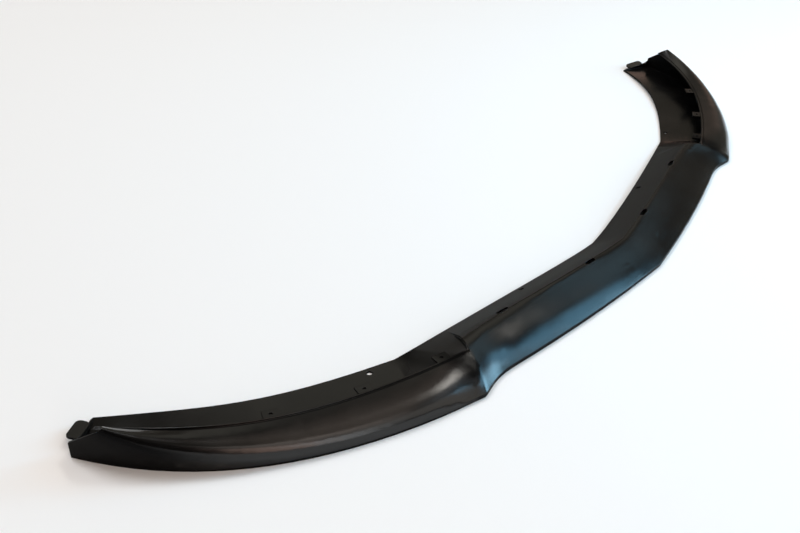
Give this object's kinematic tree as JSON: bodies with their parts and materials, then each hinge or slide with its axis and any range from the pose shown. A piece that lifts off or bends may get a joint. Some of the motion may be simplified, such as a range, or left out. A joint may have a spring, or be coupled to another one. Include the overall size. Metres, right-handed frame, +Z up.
{
  "type": "front splitter lip",
  "caption": "Curved front splitter lip for a car: a folded middle with a peaked leading edge runs into hollow swept-back wings with rim tabs and end lugs.",
  "frame": {"origin": "middle of the bounding box, on the ground under the lip", "axes": "+X along the car's width, -Y to the front of the car, +Z up"},
  "size_m": [1.84, 0.4774, 0.0653],
  "materials": {
    "satin_black_plastic": "satin black with a fine moulded grain"
  },
  "bodies": {
    "root": {"splitter_lip": "satin_black_plastic"}
  },
  "joints": []
}
